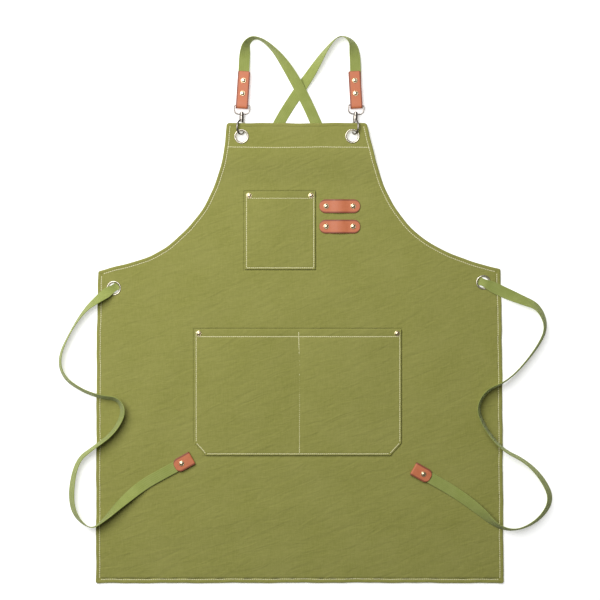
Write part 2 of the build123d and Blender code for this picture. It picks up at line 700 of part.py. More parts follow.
post_radius = post_diameter / 2
boss_low, boss_high = boss_span
barrel_top = boss_low - running_gap
post_bottom = barrel_top - post_depth
post_hole = post_radius + post_clear
barrel_end = barrel_top - barrel_length
for side in clip_side:
    flat = clip_plane(side)
    rolled = hook_plane(side)
    axis_section = Plane(origin=flat.origin, x_dir=flat.z_dir, z_dir=flat.z_dir.cross(flat.y_dir))
    half = (d_width - loop_wire) / 2

    with BuildPart() as d_loop:
        with BuildLine(flat) as bow:
            FilletPolyline(
                (half, 0), (half, -d_depth), (-half, -d_depth), (-half, 0),
                radius=[d_shoulder, d_corner, d_corner, d_shoulder],
                close=True,
            )
        with BuildSketch(Plane(origin=bow.line @ 0, z_dir=bow.line % 0)):
            Circle(loop_wire / 2)
        sweep()
        turned(axis_section, [(boss_diameter / 2, boss_low), (boss_diameter / 2, boss_high)])
        turned(axis_section, [(post_hole, 2 * boss_low), (post_hole, 0)], Mode.SUBTRACT)
        bar_start = flat.from_local_coords(Vector(-half + d_shoulder, 0, 0))
        with BuildSketch(Plane(origin=bar_start, z_dir=flat.x_dir)):
            Circle(loop_wire / 2)
        extrude(amount=2 * (half - d_shoulder))
    write(d_loop, f"{side}_d_loop")

    with BuildPart() as swivel_post:
        head_low = boss_high + running_gap
        turned(
            axis_section,
            [
                (post_radius, post_bottom),
                (post_radius, head_low),
                (post_head / 2, head_low),
                (post_head / 2, head_low + post_head_height / 2),
                (post_head / 4, head_low + post_head_height),
            ],
        )
    write(swivel_post, f"{side}_swivel_post")

    pin_x, pin_y = gate_pivot
    with BuildPart() as hook_body:
        turned(
            axis_section,
            [
                (barrel_foot / 2, barrel_end),
                (barrel_diameter / 2, barrel_end + 2 * loop_wire),
                (barrel_diameter / 2, barrel_top - 1),
                (barrel_diameter / 2 - 1, barrel_top),
            ],
        )
        with BuildLine(rolled) as arm:
            Spline(*arm_points)
        with BuildSketch(Plane(origin=arm.line @ 0, z_dir=arm.line % 0)):
            Circle(arm_wire / 2)
        sweep()
        nose = rolled.from_local_coords(Vector(*arm_points[-1], 0))
        with Locations(nose):
            Sphere(arm_wire / 2)
        turned(axis_section, [(post_radius, post_bottom), (post_radius, barrel_top + 1)], Mode.SUBTRACT)
        with BuildSketch(rolled):
            with Locations((pin_x - gate_head, (barrel_end + gate_slot_top) / 2)):
                Rectangle(2 * gate_head + 2 * gate_slot_in, gate_slot_top - barrel_end + 2 * gate_head)
        extrude(amount=gate_width / 2 + gate_slot_clear, both=True, mode=Mode.SUBTRACT)
        with BuildSketch(rolled):
            with Locations(gate_pivot):
                Circle(gate_pin / 2)
        extrude(amount=barrel_diameter, both=True, mode=Mode.SUBTRACT)
    write(hook_body, f"{side}_hook_body")

    with BuildPart() as pin:
        with BuildSketch(rolled):
            with Locations(gate_pivot):
                Circle(gate_pin / 2)
        extrude(amount=pin_length / 2, both=True)
    write(pin, f"{side}_gate_pin")

    with BuildPart() as gate:
        tip_x, tip_y = gate_tip
        with BuildSketch(rolled):
            with Locations(gate_pivot):
                Circle(gate_head / 2)
            with BuildLine():
                Polyline(
                    (pin_x - gate_head / 2, pin_y),
                    (tip_x - gate_thickness / 2, tip_y),
                    (tip_x + gate_thickness / 2, tip_y),
                    (pin_x + gate_thickness / 2, pin_y),
                    close=True,
                )
            make_face()
            with Locations(thumb_at):
                Circle(thumb_diameter / 2)
            with Locations(gate_pivot):
                Circle(gate_pin / 2 + gate_clear, mode=Mode.SUBTRACT)
        extrude(amount=gate_width / 2, both=True)
    write(gate, f"{side}_gate")

    with BuildPart() as leaf:
        with BuildSketch(rolled):
            with BuildLine():
                leaf_back = [(x - leaf_thickness, y) for x, y in reversed(leaf_points)]
                Polyline(*leaf_points, *leaf_back, close=True)
            make_face()
        extrude(amount=gate_width / 2, both=True)
    write(leaf, f"{side}_gate_spring")
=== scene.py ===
"""Cross-back canvas apron laid flat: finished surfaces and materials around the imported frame.

Shapes are worked out in millimetres and put into meshes in metres, +Z up, the apron on z = 0
with its bib towards +Y. Left and right are the viewer's.
"""

import bpy
import numpy as np
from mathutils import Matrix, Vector


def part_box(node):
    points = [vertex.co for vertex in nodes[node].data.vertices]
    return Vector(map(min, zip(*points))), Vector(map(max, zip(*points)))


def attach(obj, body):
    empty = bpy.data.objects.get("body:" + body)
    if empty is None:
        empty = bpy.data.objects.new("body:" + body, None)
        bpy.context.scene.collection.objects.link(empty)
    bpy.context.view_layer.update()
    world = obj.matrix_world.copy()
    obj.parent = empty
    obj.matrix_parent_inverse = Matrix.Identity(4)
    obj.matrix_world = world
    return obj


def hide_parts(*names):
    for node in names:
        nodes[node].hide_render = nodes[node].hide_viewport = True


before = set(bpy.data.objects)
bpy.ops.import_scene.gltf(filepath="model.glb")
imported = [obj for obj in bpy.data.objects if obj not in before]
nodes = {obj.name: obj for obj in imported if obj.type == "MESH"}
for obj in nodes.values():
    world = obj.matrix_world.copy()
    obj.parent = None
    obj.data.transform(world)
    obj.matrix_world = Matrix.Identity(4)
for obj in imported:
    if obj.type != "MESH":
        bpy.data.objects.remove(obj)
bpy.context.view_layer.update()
MM = 0.001
chance = np.random.default_rng(7)


# ---------------------------------------------------------------- shapes from arrays
def smoothstep(t):
    """0 below 0, 1 above 1, and 3t^2 - 2t^3 between."""
    t = np.clip(t, 0.0, 1.0)
    return t * t * (3.0 - 2.0 * t)


def grid_faces(rows, cols, wrap_cols=False, wrap_rows=False):
    """Quads of a grid of points, row after row; a wrapped side joins its last line to its first."""
    r, c = np.meshgrid(
        np.arange(rows if wrap_rows else rows - 1),
        np.arange(cols if wrap_cols else cols - 1),
        indexing="ij",
    )
    above, right = (r + 1) % rows, (c + 1) % cols
    corners = [r * cols + c, r * cols + right, above * cols + right, above * cols + c]
    return np.stack(corners, axis=-1).reshape(-1, 4)


def put(name, points, faces, material, attributes=None):
    """A smooth mesh object from points in millimetres, riding on the body that holds the apron."""
    mesh = bpy.data.meshes.new(name)
    mesh.from_pydata((points * MM).tolist(), [], [list(face) for face in faces])
    mesh.update()
    mesh.shade_smooth()
    for key, values in (attributes or {}).items():
        layer = mesh.attributes.new(key, "FLOAT_VECTOR", "POINT")
        layer.data.foreach_set("vector", np.asarray(values, dtype=np.float32).ravel())
    mesh.materials.append(material)
    piece = bpy.data.objects.new(name, mesh)
    bpy.context.scene.collection.objects.link(piece)
    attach(piece, "root")
    return piece


def tube_faces(rows, cols, closed=False):
    """Quads of a closed section repeated row after row; open ends get a face each."""
    faces = grid_faces(rows, cols, wrap_cols=True, wrap_rows=closed).tolist()
    if not closed:
        faces.append(list(range(cols))[::-1])
        faces.append(list(range((rows - 1) * cols, rows * cols)))
    return faces


def swept(path, across, up, sections):
    """A closed section at each point of a path: point = path + across * section x + up * section z.

    The sections run over their top from -x to +x and back below.
    """
    points = path[:, None] + across[:, None] * sections[..., :1] + up[:, None] * sections[..., 1:]
    return points.reshape(-1, 3), tube_faces(*sections.shape[:2])


def flat_section(count, squareness):
    """Unit section of a flat strip: cosine and sine to a small power, which is a rounded box."""
    turn = np.linspace(np.pi, -np.pi, count, endpoint=False)
    x, z = np.cos(turn), np.sin(turn)
    return np.stack([np.sign(x) * abs(x) ** squareness, np.sign(z) * abs(z) ** squareness], axis=-1)


def sized(unit, half, thickness):
    """A unit section at each point of a path, scaled to the strip's half width there."""
    sections = np.empty((len(half), len(unit), 2))
    sections[..., 0] = unit[:, 0] * half[:, None]
    sections[..., 1] = unit[:, 1] * thickness / 2
    return sections


def lathed(profile, segments=40, closed=False):
    """A profile of (radius, height) pairs turned about Z; it goes up on its outside."""
    turn = np.linspace(0, 2 * np.pi, segments, endpoint=False)
    profile = np.asarray(profile, dtype=float)
    radius, height = profile[:, :1], profile[:, 1:]
    x, y = radius * np.cos(turn), radius * np.sin(turn)
    points = np.stack([x, y, np.broadcast_to(height, x.shape)], axis=-1).reshape(-1, 3)
    return points, tube_faces(len(profile), segments, closed)


def copies(points, faces, origins, turns=None):
    """The same shape at each origin, turned by its own rotation matrix."""
    origins = np.asarray(origins, dtype=float)
    if turns is None:
        turns = np.broadcast_to(np.eye(3), (len(origins), 3, 3))
    placed = np.einsum("kij,pj->kpi", turns, points) + origins[:, None]
    step = len(points)
    everything = [[i + k * step for i in face] for k in range(len(origins)) for face in faces]
    return placed.reshape(-1, 3), everything


def distances(points):
    """Distance of each point from the first, along a run of straight lines."""
    return np.concatenate([[0], np.cumsum(np.linalg.norm(np.diff(points, axis=0), axis=1))])


def resampled(points, step):
    """Points at equal steps along a run of straight lines."""
    points = np.asarray(points, dtype=float)
    run = distances(points)
    count = max(2, int(round(run[-1] / step)) + 1)
    at = np.linspace(0, run[-1], count)
    return np.stack([np.interp(at, run, points[:, i]) for i in range(points.shape[1])], axis=-1)


def rounded(points, step, rounds=3):
    """A smooth line through the middles of the runs: each corner is cut at its quarter points."""
    points = np.asarray(points, dtype=float)
    for _ in range(rounds):
        before, after = points[:-1], points[1:]
        cut = np.stack([before * 0.75 + after * 0.25, before * 0.25 + after * 0.75], axis=1)
        points = np.concatenate([points[:1], cut.reshape(-1, points.shape[1]), points[-1:]])
    return resampled(points, step)


def tangents(path):
    """Unit directions along a path."""
    along = np.gradient(path, axis=0)
    return along / np.linalg.norm(along, axis=1, keepdims=True)


# ---------------------------------------------------------------- finishes
def colour(hex_code):
    """Linear colour of an sRGB hex value."""
    parts = [int(hex_code[i : i + 2], 16) / 255 for i in (1, 3, 5)]
    linear = [c / 12.92 if c <= 0.04045 else ((c + 0.055) / 1.055) ** 2.4 for c in parts]
    return (*linear, 1.0)


def add(tree, kind, inputs=None, **settings):
    """Adds a node with its settings; inputs are values, or outputs to link."""
    made = tree.nodes.new(kind)
    for key, value in settings.items():
        setattr(made, key, value)
    for key, value in (inputs or {}).items():
        if isinstance(value, bpy.types.NodeSocket):
            tree.links.new(value, made.inputs[key])
        else:
            made.inputs[key].default_value = value
    return made


def new_material(name, finish=None):
    """A material with one Principled shader that has these values, its tree, and that shader."""
    made = bpy.data.materials.new(name)
    made.use_nodes = True
    tree = made.node_tree
    tree.nodes.clear()
    shader = add(tree, "ShaderNodeBsdfPrincipled", finish)
    add(tree, "ShaderNodeOutputMaterial", {"Surface": shader.outputs[0]})
    return made, tree, shader


def wave_scale(period_mm):
    """Scale that gives a Wave texture's bands this period: its sine takes 20 times the position."""
    return 2 * np.pi / (20 * period_mm * MM)


def canvas_material():
    """Piece-dyed cotton canvas, plain weave, matt, with uneven yarns that take the dye unevenly.

    Its yarns are 0.5 mm apart, too fine to show, so the weave is drawn at 1.7 mm.
    """
    made, tree, shader = new_material("dyed_cotton_canvas", {
        "Roughness": 0.92, "Specular IOR Level": 0.25, "Sheen Weight": 0.12, "Sheen Roughness": 0.6,
    })
    place = add(tree, "ShaderNodeTexCoord").outputs["Object"]
    yarn = {"Scale": wave_scale(1.7), "Distortion": 1.6, "Detail": 2.0, "Detail Scale": 1.5}
    warp = add(tree, "ShaderNodeTexWave", {"Vector": place, **yarn}, bands_direction="X")
    weft = add(tree, "ShaderNodeTexWave", {"Vector": place, **yarn}, bands_direction="Y")
    crossed = {0: warp.outputs[1], 1: weft.outputs[1]}
    weave = add(tree, "ShaderNodeMath", crossed, operation="MULTIPLY")
    slubs = []
    for stretch in ((90.0, 1100.0, 90.0), (1100.0, 90.0, 90.0)):
        turned = add(tree, "ShaderNodeMapping", {"Vector": place, "Scale": stretch})
        slub = {"Vector": turned.outputs[0], "Scale": 1.0, "Detail": 2.0}
        slubs.append(add(tree, "ShaderNodeTexNoise", slub).outputs[0])
    yarns = add(tree, "ShaderNodeMath", {0: slubs[0], 1: slubs[1]}, operation="ADD")
    clouds = add(tree, "ShaderNodeTexNoise", {"Vector": place, "Scale": 14.0, "Detail": 5.0})
    shade = add(tree, "ShaderNodeMapRange", {0: yarns.outputs[0], 1: 0.75, 2: 1.25, 3: 0.0, 4: 1.0})
    dyed = {0: shade.outputs[0], 6: colour("#888941"), 7: colour("#95944D")}
    base = add(tree, "ShaderNodeMix", dyed, data_type="RGBA")
    drift = add(tree, "ShaderNodeMapRange", {0: clouds.outputs[0], 1: 0.3, 2: 0.7, 3: 0.0, 4: 0.28})
    mixed = {0: drift.outputs[0], 6: base.outputs[2], 7: colour("#A09E5C")}
    wash = add(tree, "ShaderNodeMix", mixed, data_type="RGBA")
    tree.links.new(wash.outputs[2], shader.inputs["Base Color"])
    relief = {"Strength": 0.30, "Distance": 0.00035, "Height": weave.outputs[0]}
    normal = add(tree, "ShaderNodeBump", relief).outputs[0]
    relief = {"Strength": 0.20, "Distance": 0.0004, "Height": yarns.outputs[0], "Normal": normal}
    normal = add(tree, "ShaderNodeBump", relief).outputs[0]
    lean = {"Vector": place, "Rotation": (0.0, 0.0, 0.35), "Scale": (0.045, 0.012, 0.045)}
    leaning = add(tree, "ShaderNodeMapping", lean, vector_type="TEXTURE")
    wrinkle = {"Vector": leaning.outputs[0], "Scale": 1.0, "Detail": 2.0, "Distortion": 0.8}
    wrinkles = add(tree, "ShaderNodeTexNoise", wrinkle)
    relief = {"Strength": 0.6, "Distance": 0.0022, "Height": wrinkles.outputs[0], "Normal": normal}
    normal = add(tree, "ShaderNodeBump", relief).outputs[0]
    tree.links.new(normal, shader.inputs["Normal"])
    return made


def webbing_material():
    """Cotton webbing, a close herringbone of thick soft yarns; its ribs are 1.6 mm apart."""
    made, tree, shader = new_material("herringbone_cotton_webbing", {
        "Roughness": 0.88, "Specular IOR Level": 0.3, "Sheen Weight": 0.2,
    })
    lay = add(tree, "ShaderNodeAttribute", attribute_name="lay").outputs["Vector"]
    parts = add(tree, "ShaderNodeSeparateXYZ", {0: lay})
    fold = add(tree, "ShaderNodeMath", {0: parts.outputs[0], 1: 0.0032}, operation="PINGPONG")
    slant = add(tree, "ShaderNodeMath", {0: fold.outputs[0], 1: parts.outputs[1]}, operation="ADD")
    bent = add(tree, "ShaderNodeCombineXYZ", {0: slant.outputs[0], 1: parts.outputs[0]})
    bands = {"Vector": bent.outputs[0], "Scale": wave_scale(1.9), "Distortion": 0.6, "Detail": 1.0}
    twill = add(tree, "ShaderNodeTexWave", bands, bands_direction="X")
    bands = {"Vector": lay, "Scale": wave_scale(3.2), "Distortion": 0.3}
    ribs = add(tree, "ShaderNodeTexWave", bands, bands_direction="X")
    height = add(tree, "ShaderNodeMath", {0: twill.outputs[1], 1: ribs.outputs[1]}, operation="ADD")
    clouds = add(tree, "ShaderNodeTexNoise", {"Vector": lay, "Scale": 60.0, "Detail": 4.0})
    mixed = {0: twill.outputs[1], 6: colour("#879245"), 7: colour("#9CA75A")}
    tone = add(tree, "ShaderNodeMix", mixed, data_type="RGBA")
    spread = {0: clouds.outputs[0], 1: 0.35, 2: 0.7, 3: 0.0, 4: 0.35}
    drift = add(tree, "ShaderNodeMapRange", spread)
    mixed = {0: drift.outputs[0], 6: tone.outputs[2], 7: colour("#AAB26A")}
    wash = add(tree, "ShaderNodeMix", mixed, data_type="RGBA")
    tree.links.new(wash.outputs[2], shader.inputs["Base Color"])
    relief = {"Strength": 0.45, "Distance": 0.0004, "Height": height.outputs[0]}
    bump = add(tree, "ShaderNodeBump", relief)
    tree.links.new(bump.outputs[0], shader.inputs["Normal"])
    return made


def leather_material():
    """Coated split leather, tan, smooth with a fine pressed grain and darker raw edges."""
    made, tree, shader = new_material("coated_tan_leather", {"IOR": 1.5})
    place = add(tree, "ShaderNodeTexCoord").outputs["Object"]
    rim = add(tree, "ShaderNodeAttribute", attribute_name="rim").outputs["Vector"]
    edge = add(tree, "ShaderNodeSeparateXYZ", {0: rim}).outputs[0]
    grain = add(tree, "ShaderNodeTexVoronoi", {"Vector": place, "Scale": 900.0})
    clouds = add(tree, "ShaderNodeTexNoise", {"Vector": place, "Scale": 160.0, "Detail": 5.0})
    mixed = {0: clouds.outputs[0], 6: colour("#C0683F"), 7: colour("#D07B53")}
    tone = add(tree, "ShaderNodeMix", mixed, data_type="RGBA")
    mixed = {0: edge, 6: tone.outputs[2], 7: colour("#8E4A32")}
    raw = add(tree, "ShaderNodeMix", mixed, data_type="RGBA")
    tree.links.new(raw.outputs[2], shader.inputs["Base Color"])
    relief = {"Strength": 0.22, "Distance": 0.0003, "Height": grain.outputs[0]}
    bump = add(tree, "ShaderNodeBump", relief)
    tree.links.new(bump.outputs[0], shader.inputs["Normal"])
    rough = add(tree, "ShaderNodeMapRange", {0: clouds.outputs[0], 1: 0.3, 2: 0.7, 3: 0.42, 4: 0.6})
    tree.links.new(rough.outputs[0], shader.inputs["Roughness"])
    return made


def thread_material():
    """Twisted polyester sewing thread, ecru, with a slight sheen and a 0.7 mm twist."""
    finish = {"Roughness": 0.55, "Sheen Weight": 0.2}
    made, tree, shader = new_material("ecru_polyester_thread", finish)
    place = add(tree, "ShaderNodeTexCoord").outputs["Object"]
    bands = {"Vector": place, "Scale": wave_scale(0.7), "Distortion": 0.5}
    twist = add(tree, "ShaderNodeTexWave", bands, bands_direction="DIAGONAL")
    mixed = {0: twist.outputs[1], 6: colour("#D6D095"), 7: colour("#F4F0C6")}
    tone = add(tree, "ShaderNodeMix", mixed, data_type="RGBA")
    tree.links.new(tone.outputs[2], shader.inputs["Base Color"])
    return made


def metal_material(name, light, dark, roughness, wear):
    """Plated metal: a clear colour, darker in faint brushed streaks, rougher where it is worn."""
    made, tree, shader = new_material(name, {"Metallic": 1.0})
    place = add(tree, "ShaderNodeTexCoord").outputs["Object"]
    streaks = add(tree, "ShaderNodeTexNoise", {"Vector": place, "Scale": 700.0, "Detail": 4.0})
    mixed = {0: streaks.outputs[0], 6: colour(dark), 7: colour(light)}
    tone = add(tree, "ShaderNodeMix", mixed, data_type="RGBA")
    tree.links.new(tone.outputs[2], shader.inputs["Base Color"])
    spread = {0: streaks.outputs[0], 1: 0.3, 2: 0.7, 3: roughness, 4: roughness + wear}
    rough = add(tree, "ShaderNodeMapRange", spread)
    tree.links.new(rough.outputs[0], shader.inputs["Roughness"])
    return made


canvas = canvas_material()
webbing = webbing_material()
leather = leather_material()
thread = thread_material()
# Die-cast zinc clips, nickel plated and tumbled: grey with a soft mirror.
nickel = metal_material("nickel_plated_zinc", "#A39D94", "#8D877F", 0.20, 0.10)
# Stamped steel eyelets, nickel plated: brighter and smoother than the castings.
bright = metal_material("nickel_plated_steel", "#DAD3C2", "#C3BBAA", 0.28, 0.08)
spring_steel = metal_material("blued_spring_steel", "#8C8880", "#6E6A64", 0.3, 0.1)
# Pressed brass rivet caps with a thin pale plating.
brass = metal_material("pale_brass_plating", "#F3E3C0", "#DDC79A", 0.22, 0.10)

# ---------------------------------------------------------------- camera
camera_data = bpy.data.cameras.new("camera")
view_width = 1.032
view_distance = 3.2
camera_data.sensor_width = 36.0
camera_data.lens = camera_data.sensor_width * view_distance / view_width
camera = bpy.data.objects.new("camera", camera_data)
apron_front = 0.005
camera.location = (0.0024, 0.0476, view_distance + apron_front)
bpy.context.scene.collection.objects.link(camera)
bpy.context.scene.camera = camera

# ---------------------------------------------------------------- straps
webbing_width = 19.0
webbing_thickness = 1.5
eyelets_at = {
    "bib": [(-98.0, 328.5), (92.5, 329.0)],
    "side": [(-318.0, 68.0), (318.0, 78.0)],
}
# Each station is x, y, the height of what the strap rests on, and its roll in degrees:
# 0 lies flat, 90 stands on an edge, and a positive roll lifts the edge on the right of travel.
# A strap runs from its clip, over the other, under the apron and out at the far side's eyelet.
before_eyelet = {
    "left": [
        (-96.5, 396, 6.25, 0), (-94, 441, 6.25, 0), (-93, 467, 4, -10), (-90, 492, 0, -60),
        (-71, 501, 0, -88), (-42, 479, 0.6, -68), (-14, 440, 3.0, -28), (14, 388, 2.8, 0),
        (30, 352, 2.0, 0), (58, 290, 0, 0), (96, 222, 0, 0), (148, 157, 0, 0), (222, 113, 0, 0),
        (285, 91, 0, 0), (318, 78, 0, 0),
    ],
    "right": [
        (98.5, 396, 6.25, 0), (98, 440, 6.25, 0), (97, 469, 4, -14), (92, 494, 0, -62),
        (70, 504, 0, -88), (48, 480, 0, -70), (22, 438, 0, -30), (-10, 392, 0, 0),
        (-36, 350, 0, 0), (-64, 285, 0, 0), (-100, 215, 0, 0), (-155, 155, 0, 0),
        (-225, 112, 0, 0), (-290, 87, 0, 0), (-318, 68, 0, 0),
    ],
}
after_eyelet = {
    "left": [
        (350, 62, 3.6, 0), (383, 48, 0.2, 32), (413, 36, 0, 54), (427, 2, 0, 69), (413, -30, 0, 74),
        (380, -72, 0, 79), (352, -95, 3.5, 80), (322, -108, 3.5, 71), (306, -138, 3.5, 70),
        (320, -173, 3.5, 71), (350, -210, 3.5, 77), (390, -229, 0, 74), (420, -260, 0, 63),
        (436, -296, 0, 57), (414, -330, 0, 66), (376, -349, 1.0, 77), (342, -343, 3.5, 68),
        (306, -309, 3.5, 27), (266, -281, 3.8, 4), (233, -262, 5.5, 0), (202, -244.5, 5.5, 0),
    ],
    "right": [
        (-345, 49, 3.6, -46), (-368, 30, 1.0, -70), (-392, -6, 0, -80), (-413, -52, 0, -72),
        (-404, -86, 0, -69), (-372, -108, 0.8, -71), (-340, -119, 3.5, -69),
        (-309, -122, 3.5, -67), (-299, -146, 3.5, -62), (-318, -181, 3.5, -70),
        (-352, -206, 3.5, -74), (-381, -228, 0, -66), (-392, -282, 0, -56), (-386, -322, 0, -60),
        (-357, -347, 3.3, -84), (-336, -332, 3.5, -103), (-304, -300, 3.5, -138),
        (-268, -270, 3.8, -176), (-228, -248, 5.5, -180), (-189, -227, 5.5, -180),
    ],
}
# In a side eyelet a strap climbs to its top over the step's length, and is gathered to a neck
# that fades out over its reach and cups upward at its edges.
eyelet_top = 4.4
eyelet_step = 15.0
neck_half = 6.3
neck_reach = 11.0
neck_cup = 1.6
easing_points = 13


def reach_of(roll):
    """How far a rolled strap reaches below its middle."""
    edge_down = webbing_width / 2 * abs(np.sin(roll))
    return edge_down + webbing_thickness / 2 * abs(np.cos(roll))


def spline_points(name, stations):
    """Points along the smooth line of a strap's middle, a NURBS spline of order 3, in metres."""
    curve = bpy.data.curves.new(name, "CURVE")
    curve.dimensions = "3D"
    curve.resolution_u = 14
    spline = curve.splines.new("NURBS")
    spline.points.add(len(stations) - 1)
    for point, (x, y, level, roll) in zip(spline.points, stations):
        point.co = (x * MM, y * MM, (level + reach_of(np.radians(roll))) * MM, 1.0)
    spline.order_u = 3
    spline.use_endpoint_u = True
    holder = bpy.data.objects.new(name, curve)
    bpy.context.scene.collection.objects.link(holder)
    bpy.context.view_layer.update()
    line = bpy.data.meshes.new_from_object(holder)
    points = np.zeros(len(line.vertices) * 3)
    line.vertices.foreach_get("co", points)
    bpy.data.objects.remove(holder)
    bpy.data.curves.remove(curve)
    bpy.data.meshes.remove(line)
    return points.reshape(-1, 3)


def strap(side, eyelet):
    """A flat strip carried along its route, turned by its roll and narrowed in its eyelet."""
    hidden, tie = before_eyelet[side], after_eyelet[side]
    stations = hidden + tie
    route = spline_points(f"{side}_route", stations)
    path = route / MM
    count = len(stations)
    # Where each station acts along an order-3 spline with its ends held.
    acts_at = np.clip(np.arange(count) - 0.5, 0, count - 2)
    along = np.linspace(0, count - 2, len(path))
    window = np.hanning(easing_points)
    window /= window.sum()

    def eased(values):
        line = np.interp(along, acts_at, values)
        line = np.pad(line, easing_points // 2, mode="edge")
        return np.convolve(line, window, mode="valid")

    roll = np.radians(eased([s[3] for s in stations]))
    below = eased([s[2] for s in hidden] + [hidden[-1][2]] * len(tie))
    above = eased([eyelet_top] * len(hidden) + [s[2] for s in tie])
    run = distances(path)
    middle = np.argmin(np.hypot(path[:, 0] - eyelet[0], path[:, 1] - eyelet[1]))
    beyond = run - run[middle]
    step = smoothstep(beyond / eyelet_step + 0.5)
    level = below * (1 - step) + above * step
    neck = np.exp(-((beyond / neck_reach) ** 2))
    path[:, 2] = level + reach_of(roll)
    forward = tangents(path)
    right = np.cross(forward, (0.0, 0.0, 1.0))
    right /= np.linalg.norm(right, axis=1, keepdims=True)
    over = np.cross(right, forward)
    across = right * np.cos(roll)[:, None] + over * np.sin(roll)[:, None]
    up = over * np.cos(roll)[:, None] - right * np.sin(roll)[:, None]
    half = webbing_width / 2 + (neck_half - webbing_width / 2) * neck
    unit = flat_section(24, 0.32)
    sections = sized(unit, half, webbing_thickness)
    sections[..., 1] += neck_cup * neck[:, None] * unit[:, 0] ** 2
    points, faces = swept(path, across, up, sections)
    lay = np.zeros((len(path), len(unit), 3))
    lay[..., 0] = unit[:, 0] * webbing_width / 2 * MM
    lay[..., 1] = run[:, None] * MM
    piece = put(f"{side}_strap", points, faces, webbing, {"lay": lay.reshape(-1, 3)})
    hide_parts(f"{side}_webbing")
    return piece, route, run[-1]


straps = {
    "left": strap("left", eyelets_at["side"][1]),
    "right": strap("right", eyelets_at["side"][0]),
}

# ---------------------------------------------------------------- canvas body
hem_y = -440.0
bib_top_y = 352.0
canvas_thickness = 0.9
# The cloth's front is this high on its hems, and rises to the bib over a length from the start.
cloth_level = 3.2
bib_rise = 7.2
bib_rise_start = 240
bib_rise_length = 65
# Outline of each side from the hem to the bib's corner.
side_line = {
    "left": [(-349, hem_y), (-348.5, -220), (-347.5, -4), (-345, 97)],
    "right": [(353, hem_y), (351.5, -220), (350, -4), (347.5, 101)],
}
armhole_line = {
    "left": [
        (-345, 97), (-320, 104), (-293, 110.5), (-262, 120.5), (-242, 130), (-225, 140),
        (-201, 161), (-182, 182), (-166, 202.5), (-154, 223), (-141, 254), (-131.5, 288),
        (-127, 312), (-123.5, 352),
    ],
    "right": [
        (347.5, 101), (317, 108.5), (281, 119.5), (255, 130.5), (235, 141), (204, 161),
        (183.5, 182), (169, 202.5), (157, 223), (142.5, 254), (132.5, 288), (126, 316),
        (117, 352),
    ],
}


def creases(x, y):
    """Long soft folds in the cloth: ridges with a bell section that fade out at their ends.

    Each is x, y, direction in degrees, length, width and height.
    """
    folds = [
        (-210, -20, 62, 150, 26, 1.1), (-250, -150, 70, 120, 20, 0.85),
        (-120, -330, 12, 180, 22, 1.0), (230, -60, 108, 170, 30, 1.1),
        (270, -330, 168, 120, 24, 0.95), (60, 60, 20, 150, 24, 0.85),
        (-40, -400, 4, 200, 18, 0.7), (150, 70, 140, 110, 20, 0.85), (-60, 285, 175, 60, 14, 0.5),
        (250, 30, 60, 90, 18, -0.4), (-160, 60, 130, 110, 22, -0.4),
        (20, -280, 175, 200, 26, -0.4),
    ]
    height = np.zeros(np.broadcast(x, y).shape)
    for fold_x, fold_y, turn, length, width, rise in folds:
        turn = np.radians(turn)
        along = (x - fold_x) * np.cos(turn) + (y - fold_y) * np.sin(turn)
        off = (y - fold_y) * np.cos(turn) - (x - fold_x) * np.sin(turn)
        bow = off + 0.0006 * along**2
        height = height + rise * np.exp(-((along / length) ** 2) - (bow / width) ** 2)
    waves = 0.13 * np.sin((x * 0.83 + y * 0.55) / 9.5) * np.sin((x - y) / 57.0)
    return height + waves


# Each pocket's box is its left, right, bottom and top, and its cut the width and height of the
# corners cut off below. Its hem is the depth of the mouth's hem, and its gape how far that stands.
pockets = {
    "chest": {
        "box": (-92.5, 29.0, 100.0, 234.0), "cut": (0.5, 0.5), "hem": 11.5, "dividers": [],
        "gape": 3.6,
    },
    "lower": {
        "box": (-179.0, 177.0, -220.0, -3.0), "cut": (19.0, 21.0), "hem": 12.5, "dividers": [1.5],
        "gape": 4.0,
    },
}
pocket_stitch_in = 2.9
press_depth = 1.5
press_width = 1.0


def pocket_ends(pocket, y):
    """Left and right edges of a pocket at each height, drawn in over its cut corners."""
    left, right, bottom, _ = pocket["box"]
    across, up = pocket["cut"]
    drawn_in = across * np.clip(1 - (y - bottom) / up, 0, 1)
    return left + drawn_in, right - drawn_in


def pressed(x, y):
    """How far the seams draw the cloth down just outside each pocket: a narrow groove."""
    groove = np.zeros(np.broadcast(x, y).shape)
    for pocket in pockets.values():
        left, right = pocket_ends(pocket, y)
        _, _, bottom, top = pocket["box"]
        outside = np.maximum(np.maximum(left - x, x - right), np.maximum(bottom - y, y - top))
        bell = np.exp(-(((outside - press_width) / press_width) ** 2))
        groove = np.maximum(groove, press_depth * bell)
    return groove


def cloth_height(x, y):
    """The front of the cloth: one level on its hems, a smooth rise to the bib, folds and seams."""
    rise = bib_rise * smoothstep((y - bib_rise_start) / bib_rise_length)
    return cloth_level + rise + creases(x, y) - pressed(x, y)


def inset(line, distance):
    """A line moved to the right of its travel."""
    along = tangents(line)
    return line + distance * np.stack([along[:, 1], -along[:, 0]], axis=-1)


def ends_fine(low, high, fine, step):
    """Positions from low to high with close steps within a reach of both ends."""
    near = np.array([0, 0.05, 0.2, 0.45, 0.8, 1.3, 2.0, 3.0, 4.4, 6.2, 8.4]) * fine
    middle = np.arange(low + near[-1] + step, high - near[-1], step)
    return np.concatenate([low + near, middle, (high - near)[::-1]])


def uneven(line):
    """A sewn edge's slow waviness: two sines across the line, fading out at its corners."""
    run = np.arange(len(line)) * 1.0
    fade = smoothstep(np.minimum(run, run[-1] - run) / 25.0)
    sway = 0.32 * np.sin(run / 17.3 + line[0, 1]) + 0.16 * np.sin(run / 6.7 + line[0, 0])
    return inset(line, (fade * sway)[:, None])


